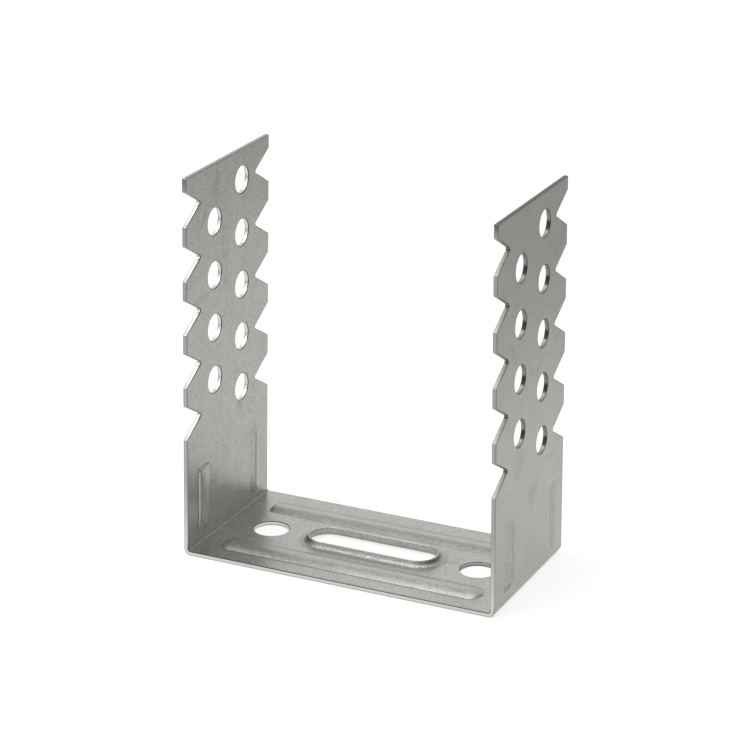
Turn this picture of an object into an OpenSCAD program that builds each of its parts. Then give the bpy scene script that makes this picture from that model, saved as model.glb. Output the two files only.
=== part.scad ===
// Direct hanger for a ceiling profile: one folded strip of galvanised sheet.
// The base lies on the XY plane with the origin at the centre of its underside.
// X runs along the base, Y across the strip, and the two legs stand up along Z.

/* [Strip] */
// Thickness of the sheet
sheet_t = 0.85; // [0.6:0.05:1]
// Width of the strip, from its front edge to its back edge
strip_w = 33; // [32:0.5:38]
// Clear width between the legs where they leave the base
inner_w = 62.5; // [60:0.5:75]
// Height of the legs, from the underside of the base to their tips
leg_h = 75; // [72:1:125]
// How far each leg leans inward at its tip, so that the pair grips a profile
toe_in = 1; // [0:0.1:1.5]
// Inside radius of the two folds
fold_r = 0.5; // [0.3:0.1:1]

/* [Leg holes] */
// Diameter of the screw holes in the legs
leg_hole_d = 5.3; // [4:0.1:5.6]
// Spacing of the holes along a leg
leg_hole_pitch = 10.5; // [10:0.1:11]
// Number of holes in the back column, one more than in the front column
leg_hole_rows = 5; // [3:1:5]
// Spacing of the two columns across the strip
column_gap = 10.9; // [10:0.1:12]
// Distance from a leg's tip down to its first hole
tip_margin = 6; // [5:0.1:7]

/* [Edge notches] */
// Depth of the notches in both edges of a leg
notch_depth = 5.4; // [4:0.1:6]
// Angle between the two flanks of a notch
notch_angle = 60; // [50:1:65]
// Radius at the root of a notch
notch_root_r = 0.4; // [0.2:0.1:0.6]

/* [Base holes] */
// Diameter of the two round holes in the base
base_hole_d = 6.9; // [5:0.1:8]
// Spacing of the two round holes along the base
base_hole_gap = 43.6; // [42:0.1:45]

/* [Slot] */
// Length of the slot in the base
slot_l = 26; // [20:0.5:28]
// Width of the slot in the base
slot_w = 7.2; // [6:0.1:9]
// Height of the drawn collar above the base's upper face
collar_h = 0.95; // [0.9:0.05:2]
// Wall of the collar at its rim
collar_wall = 0.7; // [0.5:0.05:0.8]
// Radius between the base's upper face and the collar
collar_root_r = 0.8; // [0.6:0.1:0.9]
// Radius at the mouth of the slot, on the underside
collar_mouth_r = 0.9; // [0.8:0.1:1.4]

/* [Base beads] */
// Width of the two stiffening beads in the base
base_bead_w = 5.2; // [4:0.1:6]
// Height of the beads in the base
base_bead_h = 0.8; // [0.5:0.05:1]
// Length of the beads in the base
base_bead_l = 53; // [40:1:55]
// Spacing of the beads in the base
base_bead_gap = 19.7; // [19:0.1:21]

/* [Leg beads] */
// Width of the beads at the foot of each leg
leg_bead_w = 4.2; // [3:0.1:5]
// Height of the beads on the legs
leg_bead_h = 0.6; // [0.4:0.05:0.8]
// Length of the beads on the legs
leg_bead_l = 14; // [10:0.5:16]
// Spacing of the beads on a leg
leg_bead_gap = 22.2; // [21:0.1:23]
// Height of the lower end of the leg beads above the underside of the base
leg_bead_z = 2.6; // [2:0.1:4]

/* [Hidden] */
$fn = 64;

fold_x = inner_w / 2 - fold_r;
fold_z = sheet_t + fold_r;
lean = atan(toe_in / (leg_h - fold_z));
overall_w = inner_w + 2 * sheet_t;
half_angle = notch_angle / 2;
// A rounded root stops short of the point where the two flanks would meet
notch_apex = notch_depth + notch_root_r / sin(half_angle) - notch_root_r;
// How far cutters run past the faces that they cut
over = 1;

function hole_z(row) = leg_h - tip_margin - row * leg_hole_pitch;

// Radius of an arc with the given chord and rise
function arc_r(chord, rise) = (chord * chord / 4 + rise * rise) / (2 * rise);

module base_plate() {
    translate([-fold_x, -strip_w / 2, 0])
        cube([2 * fold_x, strip_w, sheet_t]);
}

// One fold and its leg, on the right-hand side
module fold_and_leg() {
    foot_x = fold_x + fold_r;
    translate([fold_x, strip_w / 2, fold_z])
        rotate([90, 0, 0])
            rotate([0, 0, -90])
                rotate_extrude(angle = 90)
                    translate([fold_r, 0])
                        square([sheet_t, strip_w]);
    translate([0, strip_w / 2, 0])
        rotate([90, 0, 0])
            linear_extrude(strip_w)
                polygon([
                    [foot_x, fold_z],
                    [foot_x + sheet_t, fold_z],
                    [foot_x + sheet_t - toe_in, leg_h],
                    [foot_x - toe_in, leg_h]
                ]);
}

// Frame of the right-hand leg: X = 0 is its outer face, Z runs up the leg from the fold
module leg_frame() {
    translate([fold_x + fold_r + sheet_t, 0, fold_z])
        rotate([0, -lean, 0])
            children();
}

module both_sides() {
    children();
    mirror([1, 0, 0]) children();
}

module both_edges() {
    children();
    mirror([0, 1, 0]) children();
}

// Round-backed bead along X, its outer face on Z = 0 and its crown at Z = sheet + rise
module bead_body(chord, rise, len, shrink) {
    r = arc_r(chord, rise);
    run = len - chord;
    translate([0, 0, sheet_t + rise - r]) {
        translate([-run / 2, 0, 0])
            rotate([0, 90, 0])
                cylinder(r = r - shrink, h = run);
        for (side = [-1, 1])
            translate([side * run / 2, 0, 0])
                sphere(r = r - shrink);
    }
}

// The raised side of a bead, kept above the middle of the sheet
module bead_crown(chord, rise, len) {
    intersection() {
        bead_body(chord, rise, len, 0);
        translate([-len / 2, -chord / 2, sheet_t / 2])
            cube([len, chord, sheet_t / 2 + rise + over]);
    }
}

// The hollow that the press leaves behind a bead
module bead_hollow(chord, rise, len) {
    intersection() {
        bead_body(chord, rise, len, sheet_t);
        translate([-len / 2, -chord / 2, -over])
            cube([len, chord, over + sheet_t + rise]);
    }
}

module at_base_beads() {
    for (side = [-1, 1])
        translate([0, side * base_bead_gap / 2, 0])
            children();
}

// The beads of both legs, with their hollow side outward
module at_leg_beads() {
    both_sides()
        leg_frame()
            for (side = [-1, 1])
                translate([0, side * leg_bead_gap / 2, leg_bead_z - fold_z + leg_bead_l / 2])
                    rotate([0, -90, 0])
                        children();
}

// Outline of the slot, grown by a margin
module slot_prism(margin, z0, z1) {
    run = slot_l - slot_w;
    r = slot_w / 2 + margin;
    translate([-run / 2, -r, z0])
        cube([run, 2 * r, z1 - z0]);
    for (side = [-1, 1])
        translate([side * run / 2, 0, z0])
            cylinder(r = r, h = z1 - z0);
}

// Sweeps a section round the slot: X is the distance from the slot's axis line
module slot_sweep() {
    run = slot_l - slot_w;
    for (side = [-1, 1])
        translate([side * run / 2, 0, 0])
            rotate([0, 0, -side * 90])
                rotate_extrude(angle = 180)
                    children();
    for (turn = [0, 180])
        rotate([0, 0, turn])
            translate([run / 2, 0, 0])
                rotate([90, 0, -90])
                    linear_extrude(run)
                        mirror([1, 0]) children();
}

// Section of the material that the collar adds above the base
module collar_section() {
    wall_x = slot_w / 2 + collar_wall;
    difference() {
        translate([slot_w / 2, sheet_t / 2])
            square([collar_wall + collar_root_r, sheet_t / 2 + collar_h]);
        translate([wall_x + collar_root_r, sheet_t + collar_root_r])
            circle(collar_root_r);
        translate([wall_x, sheet_t + collar_root_r])
            square([collar_root_r + over, collar_h]);
    }
}

// Section of the rounding at the slot's mouth
module mouth_section() {
    difference() {
        translate([slot_w / 2 - over, -over])
            square([collar_mouth_r + over, collar_mouth_r + over]);
        translate([slot_w / 2 + collar_mouth_r, collar_mouth_r])
            circle(collar_mouth_r);
    }
}

module base_holes() {
    for (side = [-1, 1])
        translate([side * base_hole_gap / 2, 0, -over])
            cylinder(d = base_hole_d, h = sheet_t + 2 * over);
}

// One round hole through both legs
module cross_hole(y, z) {
    translate([-overall_w / 2 - over, y, z])
        rotate([0, 90, 0])
            cylinder(d = leg_hole_d, h = overall_w + 2 * over);
}

module leg_holes() {
    for (row = [0:leg_hole_rows - 1])
        cross_hole(column_gap / 2, hole_z(row));
    for (row = [0:leg_hole_rows - 2])
        cross_hole(-column_gap / 2, hole_z(row + 0.5));
}

// Outline of a notch: its mouth is on the strip's edge and its root is at X = -depth
module notch_outline() {
    root_x = notch_root_r - notch_depth;
    touch_x = root_x - notch_root_r * sin(half_angle);
    touch_y = notch_root_r * cos(half_angle);
    mouth_y = (notch_apex + over) * tan(half_angle);
    polygon([[touch_x, -touch_y], [over, -mouth_y], [over, mouth_y], [touch_x, touch_y]]);
    translate([root_x, 0]) circle(notch_root_r);
}

// The notches of both edges, level with the back column of holes
module notches() {
    both_edges()
        for (row = [0:leg_hole_rows - 1])
            translate([-overall_w / 2 - over, strip_w / 2, hole_z(row)])
                rotate([90, 0, 90])
                    linear_extrude(overall_w + 2 * over)
                        notch_outline();
}

module hanger() {
    color("darkgray")
        difference() {
            union() {
                base_plate();
                both_sides() fold_and_leg();
                at_base_beads() bead_crown(base_bead_w, base_bead_h, base_bead_l);
                at_leg_beads() bead_crown(leg_bead_w, leg_bead_h, leg_bead_l);
                slot_sweep() collar_section();
            }
            at_base_beads() bead_hollow(base_bead_w, base_bead_h, base_bead_l);
            at_leg_beads() bead_hollow(leg_bead_w, leg_bead_h, leg_bead_l);
            slot_prism(0, -over, sheet_t + collar_h + over);
            slot_sweep() mouth_section();
            base_holes();
            leg_holes();
            notches();
        }
}

hanger();
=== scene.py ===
import math

import bpy
import numpy as np
from mathutils import Matrix, Vector
from mathutils.geometry import delaunay_2d_cdt


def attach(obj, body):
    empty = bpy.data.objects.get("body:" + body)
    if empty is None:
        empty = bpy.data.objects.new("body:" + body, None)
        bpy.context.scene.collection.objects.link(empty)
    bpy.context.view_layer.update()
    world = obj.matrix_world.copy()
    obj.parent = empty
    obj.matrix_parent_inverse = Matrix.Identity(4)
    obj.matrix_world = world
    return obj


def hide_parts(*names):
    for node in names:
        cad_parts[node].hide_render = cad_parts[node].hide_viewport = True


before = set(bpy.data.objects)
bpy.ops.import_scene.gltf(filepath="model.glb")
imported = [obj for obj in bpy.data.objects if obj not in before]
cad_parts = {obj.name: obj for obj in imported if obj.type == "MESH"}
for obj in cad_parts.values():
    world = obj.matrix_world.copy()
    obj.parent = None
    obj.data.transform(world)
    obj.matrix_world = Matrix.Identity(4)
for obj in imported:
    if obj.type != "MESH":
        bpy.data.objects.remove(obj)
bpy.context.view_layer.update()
print("frame loaded:", sorted(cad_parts))

mm = 0.001
tiny = 1e-9    # keeps a division from meeting nothing


def linearColour(hexCode):
    # sRGB hex to the linear colour that the shaders want
    parts = [int(hexCode[i:i + 2], 16) / 255 for i in (1, 3, 5)]
    return tuple(c / 12.92 if c <= 0.04045 else ((c + 0.055) / 1.055) ** 2.4 for c in parts) + (1,)


def emptyTree(owner):
    # a material's or a world's node tree, cleared
    owner.use_nodes = True
    owner.node_tree.nodes.clear()
    return owner.node_tree


def addNode(tree, kind, place, settings=None, values=None, links=None):
    # one node: its settings, the values typed into its sockets, and what feeds it
    node = tree.nodes.new("ShaderNode" + kind)
    node.location = (place[0] * 200, place[1] * -180)
    for name, value in (settings or {}).items():
        setattr(node, name, value)
    for socket, value in (values or {}).items():
        node.inputs[socket].default_value = value
    for socket, source in (links or {}).items():
        tree.links.new(source, node.inputs[socket])
    return node


# The strip, in mm. Its sizes are those of the CAD part.
strip = {
    "thickness": 0.85,
    "width": 33,
    "innerWidth": 62.5,    # between the legs at their foot
    "legHeight": 75,
    "toeIn": 1,            # how far each tip leans inward
    "foldRadius": 0.5,
    "foldSteps": 14,
    "foldShade": 0.75,      # painted shade in the inner corner of the fold
    "cornerRadius": 0.2,   # at the mouths of the notches and at the tips
    "notchDepth": 5.4,
    "notchAngle": 60,
    "notchRoot": 0.4,
    "tipMargin": 6,
    "pitch": 10.5,
    "rows": 5,
    "columnGap": 10.9,
    "legHole": 5.3,
    "baseHole": 6.9,
    "baseHoleGap": 43.6,
    "slotLength": 26,
    "slotWidth": 7.2,
    "edgeSteps": 3,        # longest step along an edge
    "cornerStep": 0.22,    # radians, longest step round a corner
    "holeSteps": 56,
    "knotGap": 0.5,        # between an even step and a point that the sheet bends at
    "foldInset": 2,        # from the edges to the first points across a fold
    "foldPoints": 10,
    "margin": 0.3,         # what still counts as the strip's own edge
    "legBlend": 15,        # up the leg from the fold, where the edges' look changes
}

thickness = strip["thickness"]
halfWidth = strip["width"] / 2
foldX = strip["innerWidth"] / 2 - strip["foldRadius"]
foldZ = thickness + strip["foldRadius"]
lean = math.atan(strip["toeIn"] / (strip["legHeight"] - foldZ))
foldAngle = math.pi / 2 + lean
middleRadius = strip["foldRadius"] + thickness / 2
foldLength = foldAngle * middleRadius
outerRadius = strip["foldRadius"] + thickness
legRun = (strip["legHeight"] - foldZ - outerRadius * math.sin(lean)) / math.cos(lean)
stripEnd = foldX + foldLength + legRun


def alongStrip(height):
    # where a point of the leg at that height lies along the flat strip
    footZ = foldZ + middleRadius * math.sin(lean)
    return foldX + foldLength + (height - footZ) / math.cos(lean)


def foldUp(points, normals):
    # bends the flat strip: columns are the place along it, across it, and above its outer face
    side = np.where(points[:, 0] < 0, -1.0, 1.0)
    along = np.abs(points[:, 0])
    angle = np.clip((along - foldX) / middleRadius, 0, foldAngle)
    base = np.minimum(along, foldX)
    leg = np.maximum(along - foldX - foldLength, 0)
    radius = outerRadius - points[:, 2]
    sine = np.sin(angle)
    cosine = np.cos(angle)
    x = base + radius * sine + leg * cosine
    z = foldZ - radius * cosine + leg * sine
    normalX = normals[:, 0] * side * cosine - normals[:, 2] * sine
    normalZ = normals[:, 0] * side * sine + normals[:, 2] * cosine
    place = np.column_stack([x * side, points[:, 1], z])
    return place, np.column_stack([normalX * side, normals[:, 1], normalZ])


def cornerTurn(corners, i):
    # a corner, the direction that leads into it, and the turn that it makes
    before, here, after = (np.array(corners[(i + k) % len(corners)], float) for k in (-1, 0, 1))
    comes = (here - before) / np.linalg.norm(here - before)
    goes = (after - here) / np.linalg.norm(after - here)
    return here, comes, math.atan2(comes[0] * goes[1] - comes[1] * goes[0], comes @ goes)


def roundedLoop(corners, radii, knots):
    # a closed outline with rounded corners: its points, and the normals that point into the sheet
    points = []
    inward = []
    count = len(corners)
    for i in range(count):
        here, comes, turn = cornerTurn(corners, i)
        radius = radii[i]
        cut = radius * math.tan(abs(turn) / 2)
        start = here - comes * cut
        left = np.array([-comes[1], comes[0]])
        centre = start + left * radius * np.sign(turn)
        steps = max(3, math.ceil(abs(turn) / strip["cornerStep"]))
        for k in range(steps + 1):
            a = turn * k / steps
            normal = np.array([left[0] * math.cos(a) - left[1] * math.sin(a),
                               left[0] * math.sin(a) + left[1] * math.cos(a)])
            points.append(centre - normal * radius * np.sign(turn))
            inward.append(normal)
        # straight run to the next corner, with points where the sheet bends
        nextHere, nextComes, nextTurn = cornerTurn(corners, i + 1)
        runStart = points[-1]
        runEnd = nextHere - nextComes * radii[(i + 1) % count] * math.tan(abs(nextTurn) / 2)
        length = np.linalg.norm(runEnd - runStart)
        shares = set()
        if abs(runEnd[0] - runStart[0]) > tiny:
            for knot in knots:
                share = (knot - runStart[0]) / (runEnd[0] - runStart[0])
                if 0 < share < 1:
                    shares.add(share)
        # even steps only where no knot is near
        steps = max(1, math.ceil(length / strip["edgeSteps"]))
        for k in range(1, steps):
            share = k / steps
            if all(abs(share - other) * length > strip["knotGap"] for other in shares):
                shares.add(share)
        normal = inward[-1]
        for share in sorted(shares):
            points.append(runStart + (runEnd - runStart) * share)
            inward.append(normal)
    return np.array(points), np.array(inward)


def roundHole(along, across, radius, steps):
    # clockwise, so that the sheet is on the left
    turns = -np.arange(steps) * 2 * math.pi / steps
    inward = np.column_stack([np.cos(turns), np.sin(turns)])
    return np.array([along, across]) + inward * radius, inward


def slotLoop(halfRun, radius, steps):
    turns = np.concatenate([math.pi / 2 - np.arange(steps + 1) * math.pi / steps,
                            -math.pi / 2 - np.arange(steps + 1) * math.pi / steps])
    inward = np.column_stack([np.cos(turns), np.sin(turns)])
    ends = np.where(np.arange(len(turns)) <= steps, halfRun, -halfRun)
    centres = np.column_stack([ends, np.zeros(len(turns))])
    return centres + inward * radius, inward


# The outline of the flat strip, from its left tip along the front edge and back along the other
notchHalf = strip["notchAngle"] / 2
apex = strip["notchDepth"] + strip["notchRoot"] / math.sin(math.radians(notchHalf)) - strip["notchRoot"]
mouth = apex * math.tan(math.radians(notchHalf))
rowHeights = [strip["legHeight"] - strip["tipMargin"] - row * strip["pitch"]
              for row in range(strip["rows"])]
notchPlaces = [alongStrip(height) for height in rowHeights]

frontEdge = []
for place in sorted([-p for p in notchPlaces] + notchPlaces):
    frontEdge += [((place - mouth, -halfWidth), strip["cornerRadius"]),
                  ((place, apex - halfWidth), strip["notchRoot"]),
                  ((place + mouth, -halfWidth), strip["cornerRadius"])]
tips = [((-stripEnd, -halfWidth), strip["cornerRadius"]), ((stripEnd, -halfWidth), strip["cornerRadius"])]
half = [tips[0]] + frontEdge + [tips[1]]
outline = half + [((-x, -y), r) for (x, y), r in half]

foldRows = [side * (foldX + foldLength * k / strip["foldSteps"])
            for side in (-1, 1) for k in range(strip["foldSteps"] + 1)]
edgeLoop = roundedLoop([corner for corner, _ in outline], [radius for _, radius in outline], foldRows)

holes = []
for side in (-1, 1):
    for row in range(strip["rows"]):
        holes.append((side * alongStrip(rowHeights[row]), strip["columnGap"] / 2, strip["legHole"] / 2))
    for row in range(strip["rows"] - 1):
        middle = rowHeights[row] - strip["pitch"] / 2
        holes.append((side * alongStrip(middle), -strip["columnGap"] / 2, strip["legHole"] / 2))
    holes.append((side * strip["baseHoleGap"] / 2, 0, strip["baseHole"] / 2))
holeLoops = [roundHole(along, across, radius, strip["holeSteps"]) for along, across, radius in holes]
slotHalfRun = (strip["slotLength"] - strip["slotWidth"]) / 2

# The beads, pressed up toward the inside of the channel. A pair gives first the side toward the strip's
# front edge and then the side toward its back edge.
beads = {
    # endReach: how far a round end goes past the straight run; squareness: 2 makes it round, more squarer
    # arch: more makes the top flatter; soft: 0 makes the foot sharp
    # lean: how far the crown stands off the middle toward the strip's edge, as a share of half the width
    # crease: a line of painted shade at the foot; dull: painted shade on the flanks; crownShadeLine: a line
    # of painted shade along the top
    "front": {"width": 5.9, "rise": 0.68, "length": 54.3, "offset": 9.9, "endReach": 2.4, "arch": 2.4,
              "lean": 0, "squareness": 2.1, "soft": 0.03, "creaseShade": (0.9, 0.15), "creaseWidth": 0.06,
              "dullToneAndShade": (0, 0.4), "crownShadeLine": 0},
    "back": {"width": 5.6, "rise": 0.5, "length": 53, "offset": 9.7, "endReach": 1.7, "arch": 1.9,
             "lean": 0, "squareness": 2.6, "soft": 0.03, "creaseShade": (0.9, 0.1), "creaseWidth": 0.06,
             "dullToneAndShade": (0.3, 0.25), "crownShadeLine": 0},
    "legFront": {"width": 4.6, "rise": 0.5, "length": 13.4, "offset": 9.95, "endReach": 1.5, "arch": 2.4,
                 "lean": 0.62, "squareness": 3, "soft": 0.03, "creaseShade": (0.1, 0.8), "creaseWidth": 0.15,
                 "dullToneAndShade": (0, 0), "crownShadeLine": 0},
    "legBack": {"width": 4.4, "rise": 0.28, "length": 14.4, "offset": 11, "endReach": 1.5, "arch": 1.7,
                "lean": 0, "squareness": 2.6, "soft": 0.5, "creaseShade": (0.3, 0.2), "creaseWidth": 0.1,
                "dullToneAndShade": (0, 0.1), "crownShadeLine": 1},
    "legFoot": 3.1,        # height of the leg beads' lower ends
    "outerCreaseShade": 0.4,    # how much of the creases' painted shade shows on the hollow side
    "strain": 0.15,        # per mm of rise, how far the zinc is stretched over a bead
    # these three are shares of half the bead's width
    "rimReach": 1.03,      # the crease's outer limit
    "sideBlend": 0.3,      # either side of the middle, where one crease gives way to the other
    "crownWidth": 0.2,     # where the line along the top has faded out
    # and these say how sharply that line fades, the painted shade on the flanks sets in, and it stops at
    # the foot
    "crownFade": 6,
    "flankFade": 2,
    "footFade": 5,
    "rings": 16,
    "endPoints": 25,
    "step": 4,             # mm along the straight run
}

# Where the beads lie on the flat strip: centre along, centre across, and which kind
beadPlaces = [(0, -beads["front"]["offset"], "front"), (0, beads["back"]["offset"], "back")]
legBead = alongStrip(beads["legFoot"]) + beads["legFront"]["length"] / 2
for side in (-1, 1):
    beadPlaces.append((side * legBead, -beads["legFront"]["offset"], "legFront"))
    beadPlaces.append((side * legBead, beads["legBack"]["offset"], "legBack"))


def beadSpan(kind):
    # half the straight run, how far the round end reaches, and half the width
    size = beads[kind]
    return size["length"] / 2 - size["endReach"], size["endReach"], size["width"] / 2


def beadShape(points):
    # the sheet's rise over the beads, its slopes, and how much painted shade each point has
    rise = np.zeros(len(points))
    slope = np.zeros((len(points), 2))
    creaseShade = np.zeros(len(points))
    for along, across, kind in beadPlaces:
        size = beads[kind]
        straight, reach, halfBead = beadSpan(kind)
        arch = size["arch"]
        power = size["squareness"]
        foot = 1 + size["soft"]
        local = points[:, :2] - (along, across)
        over = np.maximum(np.abs(local[:, 0]) - straight, 0) / reach
        # each flank is measured from the crown's line to its own foot
        crown = size["lean"] * halfBead * np.sign(across)
        fromCrown = local[:, 1] - crown
        flank = halfBead - crown * np.sign(fromCrown)
        wide = np.abs(fromCrown) / flank
        level = (over ** power + wide ** power) ** (1 / power)
        inside = level < 1
        safe = np.clip(level, tiny, 1 - tiny)
        hump = 1 - safe ** arch
        height = size["rise"] * hump ** foot
        steep = -size["rise"] * foot * hump ** (foot - 1) * arch * safe ** (arch - 1)
        byAlong = np.where(over > 0, (over / safe) ** (power - 1), 0) / reach * np.sign(local[:, 0])
        byAcross = (wide / safe) ** (power - 1) / flank * np.sign(fromCrown)
        rise = np.where(inside, height, rise)
        gradient = steep[:, None] * np.column_stack([byAlong, byAcross])
        slope = np.where(inside[:, None], gradient, slope)
        # each side has its own line of painted shade at the foot and its own painted shade on the flank
        toBack = np.clip(local[:, 1] / halfBead, -1, 1)
        width = np.where(inside, size["creaseWidth"], beads["rimReach"] - 1)
        line = np.clip(1 - np.abs(level - 1) / width, 0, 1)
        blend = (-beads["sideBlend"], beads["sideBlend"])
        creaseShade = np.maximum(creaseShade, line * np.interp(toBack, blend, size["creaseShade"]))
        onCrown = np.clip(beads["crownFade"] * (beads["crownWidth"] - level), 0, 1)
        creaseShade = np.maximum(creaseShade, size["crownShadeLine"] * onCrown)
        aboveFoot = np.clip(beads["footFade"] * (1 - level), 0, 1)
        for side, dullToneAndShade in zip((-1, 1), size["dullToneAndShade"]):
            onFlank = np.clip(side * beads["flankFade"] * toBack, 0, 1)
            creaseShade = np.maximum(creaseShade, dullToneAndShade * onFlank * aboveFoot)
    return rise, slope, creaseShade


def beadRings(along, across, kind):
    # nested rings of points, each a closed loop, and the line of the crown
    straight, reach, halfBead = beadSpan(kind)
    crown = beads[kind]["lean"] * halfBead * (1 if across > 0 else -1)
    power = 2 / beads[kind]["squareness"]
    steps = max(2, round(2 * straight / beads["step"]))
    rings = []
    for level in [k / beads["rings"] for k in range(1, beads["rings"] + 1)] + [beads["rimReach"]]:
        ring = []
        for end in (1, -1):
            for a in np.linspace(-math.pi / 2, math.pi / 2, beads["endPoints"]):
                p = straight + reach * level * abs(math.cos(a)) ** power
                flank = halfBead - crown * (end if a > 0 else -end)
                q = flank * level * abs(math.sin(a)) ** power * (1 if a > 0 else -1)
                ring.append((end * p, crown + end * q))
            for j in range(1, steps):
                side = crown + end * (halfBead - crown * end) * level
                ring.append((end * (straight - 2 * straight * j / steps), side))
        rings.append(np.array(ring) + (along, across))
    ridge = np.column_stack([np.linspace(-straight, straight, steps + 1), np.full(steps + 1, crown)])
    ridge += (along, across)
    return rings, ridge


# Flat pattern: every loop is moved in from its edge by the rounding, then the face is meshed between them
flatPoints = []
flatEdges = []


def addLoop(points):
    start = len(flatPoints)
    flatPoints.extend([tuple(p) for p in points])
    count = len(points)
    flatEdges.extend([(start + k, start + (k + 1) % count) for k in range(count)])
    return np.arange(start, start + count)


# A cut edge: rounded where the tool went in, a narrow burr where it came out
edge = {
    "rollIn": 0.18,        # less than the corner radius
    "rollDown": 0.16,
    "burrIn": 0.08,
    "burrDown": 0.16,
    "steps": 5,
    "rollShade": 1.6,       # painted shade along the rounding; over 1 makes the line wider
    "burrShade": (0.2, 0.6, 0.7),          # painted shade on the burr, from the cut round to the outer face
    "baseSlitShade": 1,     # how much of that painted shade the slit edges show along the base
    "legSlitShade": 0.45,   # and along the legs
    "leftTipShade": 0.45,   # painted shade on the tips' cut faces, lighter on the left-hand end than on the right-hand one
    "rightTipShade": 0.75,
    # painted shade on the right-hand leg's hole and notch walls that face one way: the direction that the
    # wall faces in the flat sheet, and the cosines between which that shade fades in
    "spotFacing": (-0.42, 0.907),
    "shadeFade": (0.9, 0.97),
}


def edgeProfile():
    # from the inner face round to the outer one: distance in from the edge, height, the normal,
    # how much painted shade the crease has and how far the zinc was stretched
    rows = []
    for k in range(edge["steps"] + 1):
        a = math.pi / 2 * k / edge["steps"]
        rows.append((edge["rollIn"] * (1 - math.sin(a)), thickness - edge["rollDown"] * (1 - math.cos(a)),
                     -math.sin(a), math.cos(a), min(1, edge["rollShade"] * math.sin(2 * a)), 0))
    for k, paintedShade in enumerate(edge["burrShade"]):
        a = math.pi / 2 * k / (len(edge["burrShade"]) - 1)
        rows.append((edge["burrIn"] * (1 - math.cos(a)), edge["burrDown"] * (1 - math.sin(a)),
                     -math.cos(a), -math.sin(a), paintedShade, 0))
    rows.append((edge["rollIn"], 0, 0, -1, 0, 0))
    return np.array(rows)


# The collar, drawn up out of the slot's edge. The lists go by the share of the way up its outside.
collar = {
    "height": 1.12,
    "wall": 0.46,
    # the steepness in degrees: a gentle ramp, then the wall
    "ramp": [(0, 0), (0.08, 4), (0.45, 6), (0.55, 25), (0.72, 42), (0.77, 60), (1, 68)],
    "rampSteps": 32,
    # painted shade over the ramp and the wall, by the share of the way up
    "paintedShade": [(0, 0), (0.3, 0.35), (0.45, 0.35), (0.52, 0.21), (0.7, 0.21), (0.78, 0.51)],
    "strain": [(0.4, 0), (0.6, 1)],       # how far the zinc was stretched
    "rimOuter": 0.1,       # the rim's two roundings
    "rimInner": 0.26,
    "rimSteps": 4,
    "rimShade": 0.3,        # painted shade at the rim's outside, none on its top
    "mouthRadius": 1.2,    # on the underside
    "mouthSteps": 8,
    # painted shade round the mouth's rounding
    "mouthShade": 0.4,
    "apron": 0.1,          # flat ring kept round the ramp
    "endSteps": 40,        # round each end of the slot
}


def collarProfile():
    # from the apron over the ramp, the wall and the rim down to the mouth on the underside
    rim = collar["rimOuter"]
    lip = collar["rimInner"]
    wall = collar["wall"]
    bottom = collar["mouthRadius"]
    top = thickness + collar["height"]
    shares = np.linspace(0, 1, collar["rampSteps"] + 1)
    steep = np.radians(np.interp(shares, *zip(*collar["ramp"])))
    middles = (steep[:-1] + steep[1:]) / 2
    up = np.concatenate([[0], np.cumsum(np.sin(middles))])
    inward = np.concatenate([[0], np.cumsum(np.cos(middles))])
    # the ramp is scaled to end where the rim's own arc takes over
    last = steep[-1]
    scale = (collar["height"] - rim + rim * math.cos(last)) / up[-1]
    end = wall - rim + rim * math.sin(last)
    far = end + inward[-1] * scale + collar["apron"]
    rows = [(far, thickness, 0, 1, 0, 0)]
    for share, a, rise, run in zip(shares, steep, up * scale, inward * scale):
        rows.append((end + (inward[-1] * scale - run), thickness + rise, math.sin(a), math.cos(a),
                     np.interp(share, *zip(*collar["paintedShade"])), np.interp(share, *zip(*collar["strain"]))))
    steps = collar["rimSteps"]
    for k in range(1, steps + 1):
        a = math.pi / 2 - last + last * k / steps
        rows.append((wall - rim + rim * math.cos(a), top - rim + rim * math.sin(a),
                     math.cos(a), math.sin(a), collar["rimShade"] * (1 - k / steps), 1))
    for k in range(steps + 1):
        a = math.pi / 2 * k / steps
        rows.append((lip - lip * math.sin(a), top - lip + lip * math.cos(a),
                     -math.sin(a), math.cos(a), 0, 1))
    steps = collar["mouthSteps"]
    for k in range(steps + 1):
        a = math.pi / 2 * k / steps
        rows.append((bottom - bottom * math.cos(a), bottom - bottom * math.sin(a),
                     -math.cos(a), -math.sin(a), collar["mouthShade"] * math.sin(2 * a), 1 - k / steps))
    rows.append((far, 0, 0, -1, 0, 0))
    return np.array(rows)


edgeRows = edgeProfile()
collarRows = collarProfile()
sweeps = []
for loop, inward in [edgeLoop] + holeLoops:
    sweeps.append((addLoop(loop + inward * edge["rollIn"]), loop, inward, edgeRows, 1))
slotPoints, slotInward = slotLoop(slotHalfRun, strip["slotWidth"] / 2, collar["endSteps"])
sweeps.append((addLoop(slotPoints + slotInward * collarRows[0][0]), slotPoints, slotInward, collarRows, 0))

# rows of points across the folds, tied to the strip's edges
edgeIndex = {(round(x, 4), round(y, 4)): k for k, (x, y) in enumerate(flatPoints)}
firstAcross = halfWidth - strip["foldInset"]
acrossSteps = np.linspace(-firstAcross, firstAcross, strip["foldPoints"])
for row in foldRows:
    chain = [edgeIndex[(round(row, 4), round(edge["rollIn"] - halfWidth, 4))]]
    for across in acrossSteps:
        chain.append(len(flatPoints))
        flatPoints.append((row, across))
    chain.append(edgeIndex[(round(row, 4), round(halfWidth - edge["rollIn"], 4))])
    flatEdges.extend(zip(chain[:-1], chain[1:]))

for along, across, kind in beadPlaces:
    rings, ridge = beadRings(along, across, kind)
    for ring in rings:
        addLoop(ring)
    start = len(flatPoints)
    flatPoints.extend([tuple(p) for p in ridge])
    flatEdges.extend([(start + k, start + k + 1) for k in range(len(ridge) - 1)])

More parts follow.
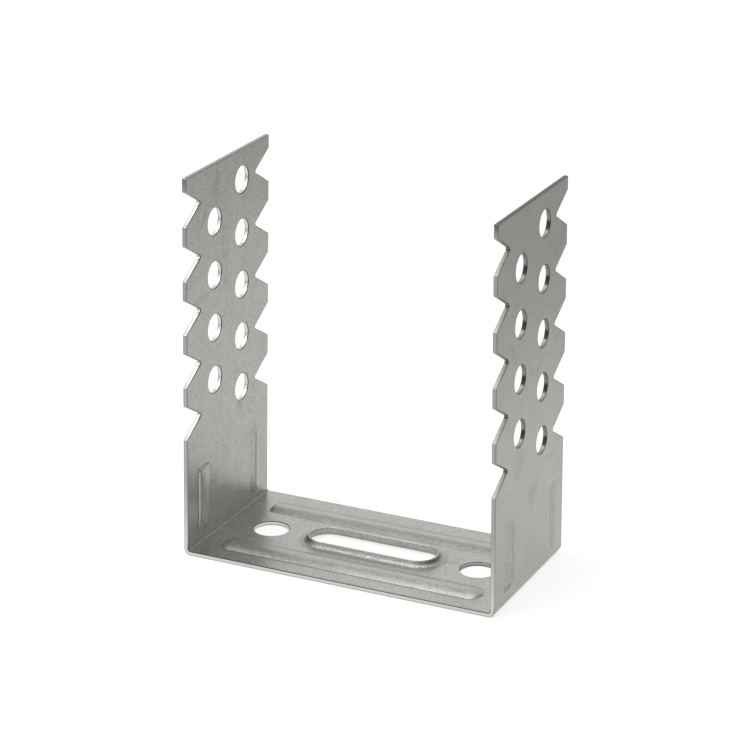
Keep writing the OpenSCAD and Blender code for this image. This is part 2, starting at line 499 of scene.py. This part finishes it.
# every triangle comes back, and each point says which points of the pattern it came from
mergeWithin = 1e-5    # mm
meshed = delaunay_2d_cdt([Vector(p) for p in flatPoints], flatEdges, [], 0, mergeWithin)
meshedPoints, meshedFaces, origins = meshed[0], meshed[2], meshed[3]
if any(not origin for origin in origins):
    raise RuntimeError("the flat pattern's lines cross")
first = [min(origin) for origin in origins]


def pointInside(x, y, loop):
    # even-odd test against the strip's own outline
    nextLoop = np.roll(loop, -1, axis=0)
    crosses = (loop[:, 1] > y) != (nextLoop[:, 1] > y)
    slopeX = (nextLoop[:, 0] - loop[:, 0]) / np.where(crosses, nextLoop[:, 1] - loop[:, 1], 1)
    return np.count_nonzero(crosses & (x < loop[:, 0] + slopeX * (y - loop[:, 1]))) % 2 == 1


outlineInset = edgeLoop[0] + edgeLoop[1] * edge["rollIn"]
faceTriangles = []
for triangle in meshedFaces:
    x, y = np.mean([meshedPoints[k][:] for k in triangle], axis=0)
    if any(math.hypot(x - a, y - b) < r + edge["rollIn"] for a, b, r in holes):
        continue
    if math.hypot(max(abs(x) - slotHalfRun, 0), y) < strip["slotWidth"] / 2 + collarRows[0][0]:
        continue
    if pointInside(x, y, outlineInset):
        faceTriangles.append([first[k] for k in triangle])
print("flat pattern:", len(flatPoints), "points,", len(faceTriangles), "triangles")

# Both faces of the sheet, then the swept edges between them
flat = np.array(flatPoints)
count = len(flat)
rise, slope, creaseShade = beadShape(flat)
points = [np.column_stack([flat, thickness + rise]), np.column_stack([flat, rise])]
normals = [np.column_stack([-slope, np.ones(count)]), np.column_stack([slope, -np.ones(count)])]
bent = np.clip((np.abs(flat[:, 0]) - foldX) / foldLength, 0, 1)
# painted shade across the fold's inner corner, darkest at its middle
foldShade = strip["foldShade"] * np.sin(bent * math.pi)
strained = beads["strain"] * rise
# for the materials: how much painted shade each point has, how far its zinc was stretched, and whether it
# was punched
marks = [np.column_stack([np.maximum(creaseShade, foldShade), strained, np.zeros(count)]),
         np.column_stack([beads["outerCreaseShade"] * creaseShade,
                          np.maximum(strained, np.sin(bent * math.pi)), np.zeros(count)])]
faces = [tuple(t) for t in faceTriangles] + [tuple(count + k for k in reversed(t)) for t in faceTriangles]
kinds = [0] * len(faces)
total = 2 * count
for indices, loop, inward, rows, kind in sweeps:
    rings = [indices]
    along = np.abs(loop[:, 0])
    tip = along > stripEnd - strip["margin"]
    punched = (np.abs(loop[:, 1]) < halfWidth - strip["margin"]) & ~tip
    # painted shade on the slit edges, more along the base, and on the tips' cut faces
    slitShare = np.where(along > foldX + foldLength, edge["legSlitShade"], edge["baseSlitShade"])
    tipShade = tip * np.where(loop[:, 0] < 0, edge["leftTipShade"], edge["rightTipShade"])
    # painted shade on the right-hand leg's walls that face one way
    spot = np.interp(inward @ edge["spotFacing"], edge["shadeFade"], (0, 1))
    spot *= loop[:, 0] > foldX + foldLength
    for inset, height, normalIn, normalUp, paintedShade, strain in rows[1:-1]:
        points.append(np.column_stack([loop + inward * inset, np.full(len(loop), height)]))
        normals.append(np.column_stack([inward * normalIn, np.full(len(loop), normalUp)]))
        shadeMarks = np.where(punched, np.maximum(paintedShade, spot), np.maximum(paintedShade * slitShare, tipShade))
        marks.append(np.column_stack([shadeMarks, np.full(len(loop), strain), punched]))
        rings.append(np.arange(total, total + len(loop)))
        total += len(loop)
    rings.append(indices + count)
    for upper, lower in zip(rings[:-1], rings[1:]):
        for j in range(len(loop)):
            k = (j + 1) % len(loop)
            faces.append((int(upper[j]), int(lower[j]), int(lower[k]), int(upper[k])))
            kinds.append(kind)

points = np.vstack(points)
normals = np.vstack(normals)
normals /= np.linalg.norm(normals, axis=1)[:, None]
places, directions = foldUp(points, normals)

hanger = bpy.data.meshes.new("hangerSheet")
hanger.from_pydata((places * mm).tolist(), [], faces)
hanger.polygons.foreach_set("use_smooth", [True] * len(faces))
hanger.polygons.foreach_set("material_index", kinds)
for name, values in (("flatPlace", points * mm), ("shadeAndPressMarks", np.vstack(marks))):
    layer = hanger.attributes.new(name, "FLOAT_VECTOR", "POINT")
    layer.data.foreach_set("vector", values.astype(np.float32).ravel())
hanger.update()
hanger.normals_split_custom_set_from_vertices(directions.tolist())
sheet = bpy.data.objects.new("hangerSheet", hanger)
bpy.context.scene.collection.objects.link(sheet)
print("sheet:", len(places), "points,", len(faces), "faces")

# Hot-dip galvanised steel, temper rolled: the rolls press the zinc to a soft matt skin with a fine
# random grain and mottle, faint lines along the strip, and dull smudges where it was handled
steel = {
    "pale": "#bdc0ba",
    "dullToneAndShade": "#9fa29b",
    "smudge": "#868984",
    # the colour toward which painted shade darkens the zinc
    "creaseShade": "#63665f",
    "grain": 0.32,         # mm, the zinc's fine mottle
    "mottle": 1.3,         # mm
    "clouds": 6,           # mm, soft patches
    "smudges": 9,          # mm
    "lineWidth": 0.3,      # mm across, and they run on for this many times as long
    "lineRun": 60,
    "shares": (0.72, 0.12, 0.13, 0.03),   # of grain, mottle, clouds and lines in the tone
    "roughness": 0.33,
    "roughnessSpread": 0.12,
    "relief": 0.005,       # mm
    "strainRelief": 0.22,  # mm, where the zinc was stretched
    "edgeLine": 0.3,       # mm, a line of painted shade along the slit edges and the tips
    "edgeShade": 0.75,
    "legEdgeShare": 0.25,  # how much of it there is on the legs
    "shadeShare": 0.8,      # how far the painted shade hides the zinc where it is darkest
    # the parts of the noises' range that are spread over the tone, the smudges and the roughness
    "toneRange": (0.4, 0.6),
    "smudgeRange": (0.6, 0.75),
    "smudgeShare": 0.5,
    "roughnessRange": (0.3, 0.6),
}


def makeGalvanised():
    material = bpy.data.materials.new("temperRolledGalvanisedSteel")
    tree = emptyTree(material)
    place = addNode(tree, "Attribute", (0, 0), {"attribute_name": "flatPlace"})
    pressed = addNode(tree, "Attribute", (0, 4), {"attribute_name": "shadeAndPressMarks"})
    marks = addNode(tree, "SeparateXYZ", (1, 4), links={"Vector": pressed.outputs["Vector"]})
    where = place.outputs["Vector"]
    grain = addNode(tree, "TexNoise", (2, 0), values={"Scale": 1 / (steel["grain"] * mm), "Detail": 2,
                                                      "Roughness": 0.6}, links={"Vector": where})
    mottle = addNode(tree, "TexNoise", (2, 1), values={"Scale": 1 / (steel["mottle"] * mm), "Detail": 2,
                                                       "Roughness": 0.55}, links={"Vector": where})
    clouds = addNode(tree, "TexNoise", (2, 2), values={"Scale": 1 / (steel["clouds"] * mm), "Detail": 2,
                                                       "Roughness": 0.55}, links={"Vector": where})
    smudges = addNode(tree, "TexNoise", (2, 3), values={"Scale": 1 / (steel["smudges"] * mm), "Detail": 5,
                                                        "Roughness": 0.6, "Distortion": 0.8},
                      links={"Vector": where})
    drawn = addNode(tree, "VectorMath", (1, 5), {"operation": "MULTIPLY"},
                    {1: (1 / steel["lineRun"], 1, 1)}, {0: where})
    lines = addNode(tree, "TexNoise", (2, 5), values={"Scale": 1 / (steel["lineWidth"] * mm), "Detail": 2},
                    links={"Vector": drawn.outputs["Vector"]})
    # the tone adds up grain, mottle, clouds and lines
    shares = steel["shares"]
    fine = addNode(tree, "Math", (3, 0), {"operation": "MULTIPLY"}, {1: shares[0]},
                   {0: grain.outputs["Fac"]})
    mottled = addNode(tree, "Math", (4, 0), {"operation": "MULTIPLY_ADD"}, {1: shares[1]},
                      {0: mottle.outputs["Fac"], 2: fine.outputs["Value"]})
    clouded = addNode(tree, "Math", (5, 0), {"operation": "MULTIPLY_ADD"}, {1: shares[2]},
                      {0: clouds.outputs["Fac"], 2: mottled.outputs["Value"]})
    lined = addNode(tree, "Math", (6, 0), {"operation": "MULTIPLY_ADD"}, {1: shares[3]},
                    {0: lines.outputs["Fac"], 2: clouded.outputs["Value"]})
    spread = addNode(tree, "MapRange", (6, 1),
                     values={"From Min": steel["toneRange"][0], "From Max": steel["toneRange"][1]},
                     links={"Value": lined.outputs["Value"]})
    skin = addNode(tree, "Mix", (7, 0), {"data_type": "RGBA"},
                   {"A": linearColour(steel["dullToneAndShade"]), "B": linearColour(steel["pale"])},
                   {"Factor": spread.outputs["Result"]})
    patches = addNode(tree, "MapRange", (6, 2),
                      values={"From Min": steel["smudgeRange"][0], "From Max": steel["smudgeRange"][1],
                              "To Max": steel["smudgeShare"]},
                      links={"Value": smudges.outputs["Fac"]})
    handled = addNode(tree, "Mix", (8, 0), {"data_type": "RGBA"}, {"B": linearColour(steel["smudge"])},
                      {"Factor": patches.outputs["Result"], "A": skin.outputs["Result"]})
    # how near the point is to the strip's long edges and to its tips, where a line of painted shade runs
    mirrored = addNode(tree, "VectorMath", (1, 6), {"operation": "ABSOLUTE"}, links={0: where})
    fromMiddle = addNode(tree, "SeparateXYZ", (2, 6), links={"Vector": mirrored.outputs["Vector"]})
    rim = (halfWidth - edge["rollIn"]) * mm
    nearEdge = addNode(tree, "MapRange", (3, 5),
                       values={"From Min": rim - steel["edgeLine"] * mm, "From Max": rim,
                               "To Max": steel["edgeShade"]},
                       links={"Value": fromMiddle.outputs["Y"]})
    tip = (stripEnd - edge["rollIn"]) * mm
    nearTip = addNode(tree, "MapRange", (3, 6),
                      values={"From Min": tip - steel["edgeLine"] * mm, "From Max": tip,
                              "To Max": steel["edgeShade"]},
                      links={"Value": fromMiddle.outputs["X"]})
    nearRimShade = addNode(tree, "Math", (4, 5), {"operation": "MAXIMUM"},
                   links={0: nearEdge.outputs["Result"], 1: nearTip.outputs["Result"]})
    upLeg = addNode(tree, "MapRange", (3, 7),
                    values={"From Min": foldX * mm, "From Max": (foldX + strip["legBlend"]) * mm,
                            "To Min": 1, "To Max": steel["legEdgeShare"]},
                    links={"Value": fromMiddle.outputs["X"]})
    paintedEdgeShade = addNode(tree, "Math", (5, 5), {"operation": "MULTIPLY"},
                     links={0: nearRimShade.outputs["Value"], 1: upLeg.outputs["Result"]})
    shadeMarks = addNode(tree, "Math", (5, 4), {"operation": "MAXIMUM"},
                     links={0: paintedEdgeShade.outputs["Value"], 1: marks.outputs["X"]})
    paintedShade = addNode(tree, "Math", (8, 4), {"operation": "MULTIPLY"}, {1: steel["shadeShare"]},
                   {0: shadeMarks.outputs["Value"]})
    # painted shade from the creases, fold, cut edges, collar and the lines along the edges
    colour = addNode(tree, "Mix", (9, 0), {"data_type": "RGBA"}, {"B": linearColour(steel["creaseShade"])},
                     {"Factor": paintedShade.outputs["Value"], "A": handled.outputs["Result"]})
    roughness = addNode(tree, "MapRange", (8, 1),
                        values={"From Min": steel["roughnessRange"][0],
                                "From Max": steel["roughnessRange"][1],
                                "To Min": steel["roughness"] - steel["roughnessSpread"] / 2,
                                "To Max": steel["roughness"] + steel["roughnessSpread"] / 2},
                        links={"Value": clouded.outputs["Value"]})
    relief = addNode(tree, "MapRange", (8, 3), values={"To Min": steel["relief"] * mm,
                                                       "To Max": steel["strainRelief"] * mm},
                     links={"Value": marks.outputs["Y"]})
    bump = addNode(tree, "Bump", (9, 2), values={"Strength": 1},
                   links={"Distance": relief.outputs["Result"], "Height": lined.outputs["Value"]})
    shader = addNode(tree, "BsdfPrincipled", (10, 0), values={"Metallic": 1},
                     links={"Base Color": colour.outputs["Result"],
                            "Roughness": roughness.outputs["Result"],
                            "Normal": bump.outputs["Normal"]})
    addNode(tree, "OutputMaterial", (11, 0), links={"Surface": shader.outputs["BSDF"]})
    return material


# Sheared steel, with no zinc on it. The slit edges are painted brighter along the base than up the legs, a
# painted highlight. In holes and notches the punch burnishes a bright band and then tears a duller, rougher
# one, and the bright band is painted deeper on the left-hand leg than on the right-hand one, as a painted
# highlight.
shear = {
    "slitBaseHighlight": "#e0e3dd",
    "slitLeg": "#b4b7b1",
    "bright": "#e6e8e4",
    "torn": "#a3a6a0",
    "rim": "#3e413b",      # painted shade along both rims of the cut, over the bare steel
    "leftShare": 0.9,      # how far down from the inner face the burnished band reaches, painted deeper on the left as a highlight
    "rightShare": 0.12,
    "waviness": 0.12,
    "waveLength": 0.9,     # mm
    "roughness": 0.3,
    "tornRoughness": 0.55,
    "blend": 0.2,          # how softly one band gives way to the other, as a share of the thickness
    "relief": 0.02,        # mm
}


def makeSheared():
    material = bpy.data.materials.new("shearedSteelEdge")
    tree = emptyTree(material)
    place = addNode(tree, "Attribute", (0, 0), {"attribute_name": "flatPlace"})
    pressed = addNode(tree, "Attribute", (0, 3), {"attribute_name": "shadeAndPressMarks"})
    parts = addNode(tree, "SeparateXYZ", (1, 0), links={"Vector": place.outputs["Vector"]})
    marks = addNode(tree, "SeparateXYZ", (1, 3), links={"Vector": pressed.outputs["Vector"]})
    depth = addNode(tree, "Math", (2, 0), {"operation": "DIVIDE"}, {1: thickness * mm},
                    {0: parts.outputs["Z"]})
    waves = addNode(tree, "TexNoise", (1, 1), values={"Scale": 1 / (shear["waveLength"] * mm), "Detail": 3},
                    links={"Vector": place.outputs["Vector"]})
    wavy = addNode(tree, "Math", (3, 0), {"operation": "MULTIPLY_ADD"}, {1: 2 * shear["waviness"]},
                   {0: waves.outputs["Fac"], 2: depth.outputs["Value"]})
    # painted highlight: the burnished band reaches deeper on the left-hand leg
    share = addNode(tree, "MapRange", (2, 2),
                    values={"From Min": -foldX * mm, "From Max": foldX * mm,
                            "To Min": shear["leftShare"], "To Max": shear["rightShare"]},
                    links={"Value": parts.outputs["X"]})
    reached = addNode(tree, "Math", (4, 0), {"operation": "ADD"},
                      links={0: wavy.outputs["Value"], 1: share.outputs["Result"]})
    band = addNode(tree, "MapRange", (5, 0), {"interpolation_type": "SMOOTHSTEP"},
                   {"From Min": 1, "From Max": 1 + shear["blend"]}, {"Value": reached.outputs["Value"]})
    punched = addNode(tree, "Mix", (6, 0), {"data_type": "RGBA"},
                      {"A": linearColour(shear["torn"]), "B": linearColour(shear["bright"])},
                      {"Factor": band.outputs["Result"]})
    # painted highlight: the slit edges are brighter along the base than up the legs
    outOfBase = addNode(tree, "Math", (2, 4), {"operation": "ABSOLUTE"}, links={0: parts.outputs["X"]})
    upLeg = addNode(tree, "MapRange", (3, 4),
                    values={"From Min": foldX * mm, "From Max": (foldX + strip["legBlend"]) * mm},
                    links={"Value": outOfBase.outputs["Value"]})
    slit = addNode(tree, "Mix", (4, 4), {"data_type": "RGBA"},
                   {"A": linearColour(shear["slitBaseHighlight"]), "B": linearColour(shear["slitLeg"])},
                   {"Factor": upLeg.outputs["Result"]})
    colour = addNode(tree, "Mix", (7, 0), {"data_type": "RGBA"},
                     links={"Factor": marks.outputs["Z"], "A": slit.outputs["Result"],
                            "B": punched.outputs["Result"]})
    # painted shade along the rims of the cut
    rimmed = addNode(tree, "Mix", (8, 0), {"data_type": "RGBA"}, {"B": linearColour(shear["rim"])},
                     {"Factor": marks.outputs["X"], "A": colour.outputs["Result"]})
    roughness = addNode(tree, "MapRange", (7, 1),
                        values={"To Min": shear["tornRoughness"], "To Max": shear["roughness"]},
                        links={"Value": band.outputs["Result"]})
    relief = addNode(tree, "Bump", (7, 2), values={"Strength": 1, "Distance": shear["relief"] * mm},
                     links={"Height": waves.outputs["Fac"]})
    shader = addNode(tree, "BsdfPrincipled", (9, 0), values={"Metallic": 1},
                     links={"Base Color": rimmed.outputs["Result"],
                            "Roughness": roughness.outputs["Result"],
                            "Normal": relief.outputs["Normal"]})
    addNode(tree, "OutputMaterial", (10, 0), links={"Surface": shader.outputs["BSDF"]})
    return material


hanger.materials.append(makeGalvanised())
hanger.materials.append(makeSheared())
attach(sheet, "root")
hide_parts("hanger")
print("hanger dressed in zinc and sheared steel")

# The floor and the light: a white table in a white room
room = {
    "floorSize": 6,        # m
    "floorColour": "#959595",             # what the floor gives back of the light, shadows with it
    "glow": 0.72,          # brings the open floor up to white
    "nearGlow": 0.58,      # the same for what the metal mirrors, inside the pool of light
    "farGlow": 0.16,       # and outside it
    "poolCentre": (-40, 30),              # mm
    "poolStretch": (1.3, 0.75),
    "poolStart": 125,      # mm
    "poolEnd": 230,
    # the room's brightness over the sine of the elevation: the back wall, a gap, the soft box overhead
    "sky": [(0, 0.5), (0.12, 0.75), (0.27, 1.3), (0.4, 1.3),
            (0.52, 0.66), (0.76, 0.7), (0.88, 1.3), (1, 1.3)],
    "rightShade": 0.62,    # the right-hand side of the room, as a share of that
    "rightFull": 0.35,     # how far to the right it has set in
    "shadeTop": (0.5, 0.8),               # the heights between which it fades out
}


def makeFloor():
    # white paper: quite matt, so that it takes a soft shadow and shows no mirror image
    reach = room["floorSize"] / 2
    corners = [(-reach, -reach, 0), (reach, -reach, 0), (reach, reach, 0), (-reach, reach, 0)]
    mesh = bpy.data.meshes.new("floor")
    mesh.from_pydata(corners, [], [(0, 1, 2, 3)])
    floor = bpy.data.objects.new("floor", mesh)
    bpy.context.scene.collection.objects.link(floor)
    material = bpy.data.materials.new("whitePaper")
    tree = emptyTree(material)
    matt = addNode(tree, "BsdfDiffuse", (3, 0), values={"Color": linearColour(room["floorColour"])})
    place = addNode(tree, "TexCoord", (0, 1))
    centre = room["poolCentre"]
    stretch = room["poolStretch"]
    shifted = addNode(tree, "VectorMath", (1, 1), {"operation": "MULTIPLY_ADD"},
                      {1: (stretch[0], stretch[1], 0),
                       2: (-centre[0] * stretch[0] * mm, -centre[1] * stretch[1] * mm, 0)},
                      {0: place.outputs["Object"]})
    away = addNode(tree, "VectorMath", (2, 2), {"operation": "LENGTH"},
                   links={0: shifted.outputs["Vector"]})
    pool = addNode(tree, "MapRange", (2, 1), {"interpolation_type": "SMOOTHSTEP"},
                   {"From Min": room["poolStart"] * mm, "From Max": room["poolEnd"] * mm,
                    "To Min": room["nearGlow"], "To Max": room["farGlow"]},
                   {"Value": away.outputs["Value"]})
    # it glows for the camera and for what metal or glass shows of it, and lights nothing by itself
    path = addNode(tree, "LightPath", (0, 3))
    seen = addNode(tree, "Mix", (3, 1), {"data_type": "FLOAT"}, {"B": room["glow"]},
                   {"Factor": path.outputs["Is Camera Ray"], "A": pool.outputs["Result"]})
    shiny = addNode(tree, "Math", (1, 3), {"operation": "MAXIMUM"},
                    links={0: path.outputs["Is Camera Ray"], 1: path.outputs["Is Glossy Ray"]})
    clear = addNode(tree, "Math", (2, 3), {"operation": "MAXIMUM"},
                    links={0: shiny.outputs["Value"], 1: path.outputs["Is Transmission Ray"]})
    strength = addNode(tree, "Math", (4, 2), {"operation": "MULTIPLY"},
                       links={0: seen.outputs["Result"], 1: clear.outputs["Value"]})
    glow = addNode(tree, "Emission", (5, 1), values={"Color": linearColour("#ffffff")},
                   links={"Strength": strength.outputs["Value"]})
    both = addNode(tree, "AddShader", (6, 0), links={0: matt.outputs["BSDF"], 1: glow.outputs["Emission"]})
    addNode(tree, "OutputMaterial", (7, 0), links={"Surface": both.outputs["Shader"]})
    mesh.materials.append(material)
    return floor


makeFloor()


def makeWorld():
    # the light of the room, which the metal mirrors: in the photograph's view the floor fills the picture
    world = bpy.data.worlds.new("studio")
    bpy.context.scene.world = world
    tree = emptyTree(world)
    place = addNode(tree, "TexCoord", (0, 0))
    parts = addNode(tree, "SeparateXYZ", (1, 0), links={"Vector": place.outputs["Generated"]})
    height = addNode(tree, "ValToRGB", (2, 0), links={"Fac": parts.outputs["Z"]})
    stops = height.color_ramp.elements
    for position, _ in room["sky"][1:-1]:
        stops.new(position)
    for stop, (position, level) in zip(stops, room["sky"]):
        stop.position = position
        stop.color = (level, level, level, 1)
    # only low down: the soft box overhead lights both sides alike
    right = addNode(tree, "MapRange", (2, 1), {"interpolation_type": "SMOOTHSTEP"},
                    {"From Min": 0, "From Max": room["rightFull"], "To Min": 1,
                     "To Max": room["rightShade"]},
                    {"Value": parts.outputs["X"]})
    low = addNode(tree, "MapRange", (2, 2), {"interpolation_type": "SMOOTHSTEP"},
                  {"From Min": room["shadeTop"][0], "From Max": room["shadeTop"][1]},
                  {"Value": parts.outputs["Z"]})
    sides = addNode(tree, "Mix", (3, 1), {"data_type": "FLOAT"}, {"B": 1},
                    {"Factor": low.outputs["Result"], "A": right.outputs["Result"]})
    level = addNode(tree, "Math", (3, 0), {"operation": "MULTIPLY"},
                    links={0: height.outputs["Color"], 1: sides.outputs["Result"]})
    light = addNode(tree, "Background", (4, 0), values={"Color": linearColour("#ffffff")},
                    links={"Strength": level.outputs["Value"]})
    addNode(tree, "OutputWorld", (5, 0), links={"Surface": light.outputs["Background"]})


makeWorld()

# Two soft lamps that look at the hanger's middle, in metres and watts
lampAim = Vector((0, 0, 0.03))
lamps = {
    "front": {"place": (-0.5, -0.6, 1.1), "size": 0.7, "power": 5},
    "top": {"place": (0.1, 0.1, 1.1), "size": 1.3, "power": 3},
}
for name, lamp in lamps.items():
    light = bpy.data.lights.new(name, "AREA")
    light.shape = "SQUARE"
    light.size = lamp["size"]
    light.energy = lamp["power"]
    holder = bpy.data.objects.new(name, light)
    holder.location = lamp["place"]
    aim = lampAim - Vector(lamp["place"])
    holder.rotation_euler = aim.to_track_quat("-Z", "Y").to_euler()
    bpy.context.scene.collection.objects.link(holder)

# The camera stands where the photograph was taken from
view = {
    "azimuth": 25.02,
    "elevation": 20.87,
    "roll": 0.39,
    "distance": 521.8,     # mm
    "aim": (0, 0, 35),
    "aside": (0.13, 1.34),                # the aim's offset in the picture, mm
    "lens": 133.94,
    "sensor": 36,
    "clipStart": 0.01,     # m
}


def makeCamera():
    azimuth, elevation, roll = (math.radians(view[name]) for name in ("azimuth", "elevation", "roll"))
    back = Vector((math.sin(azimuth) * math.cos(elevation), -math.cos(azimuth) * math.cos(elevation),
                   math.sin(elevation)))
    level = Vector((0, 0, 1)).cross(back).normalized()
    upright = back.cross(level)
    right = level * math.cos(roll) + upright * math.sin(roll)
    up = upright * math.cos(roll) - level * math.sin(roll)
    spot = Vector(view["aim"]) + right * view["aside"][0] + up * view["aside"][1] + back * view["distance"]
    lens = bpy.data.cameras.new("camera")
    lens.lens = view["lens"]
    lens.sensor_width = view["sensor"]
    lens.sensor_fit = "HORIZONTAL"
    lens.clip_start = view["clipStart"]
    camera = bpy.data.objects.new("camera", lens)
    turn = Matrix((right, up, back)).transposed().to_4x4()
    camera.matrix_world = Matrix.Translation(spot * mm) @ turn
    bpy.context.scene.collection.objects.link(camera)
    bpy.context.scene.camera = camera


makeCamera()
bpy.context.scene.view_settings.view_transform = "Standard"
print("floor, light and camera set")
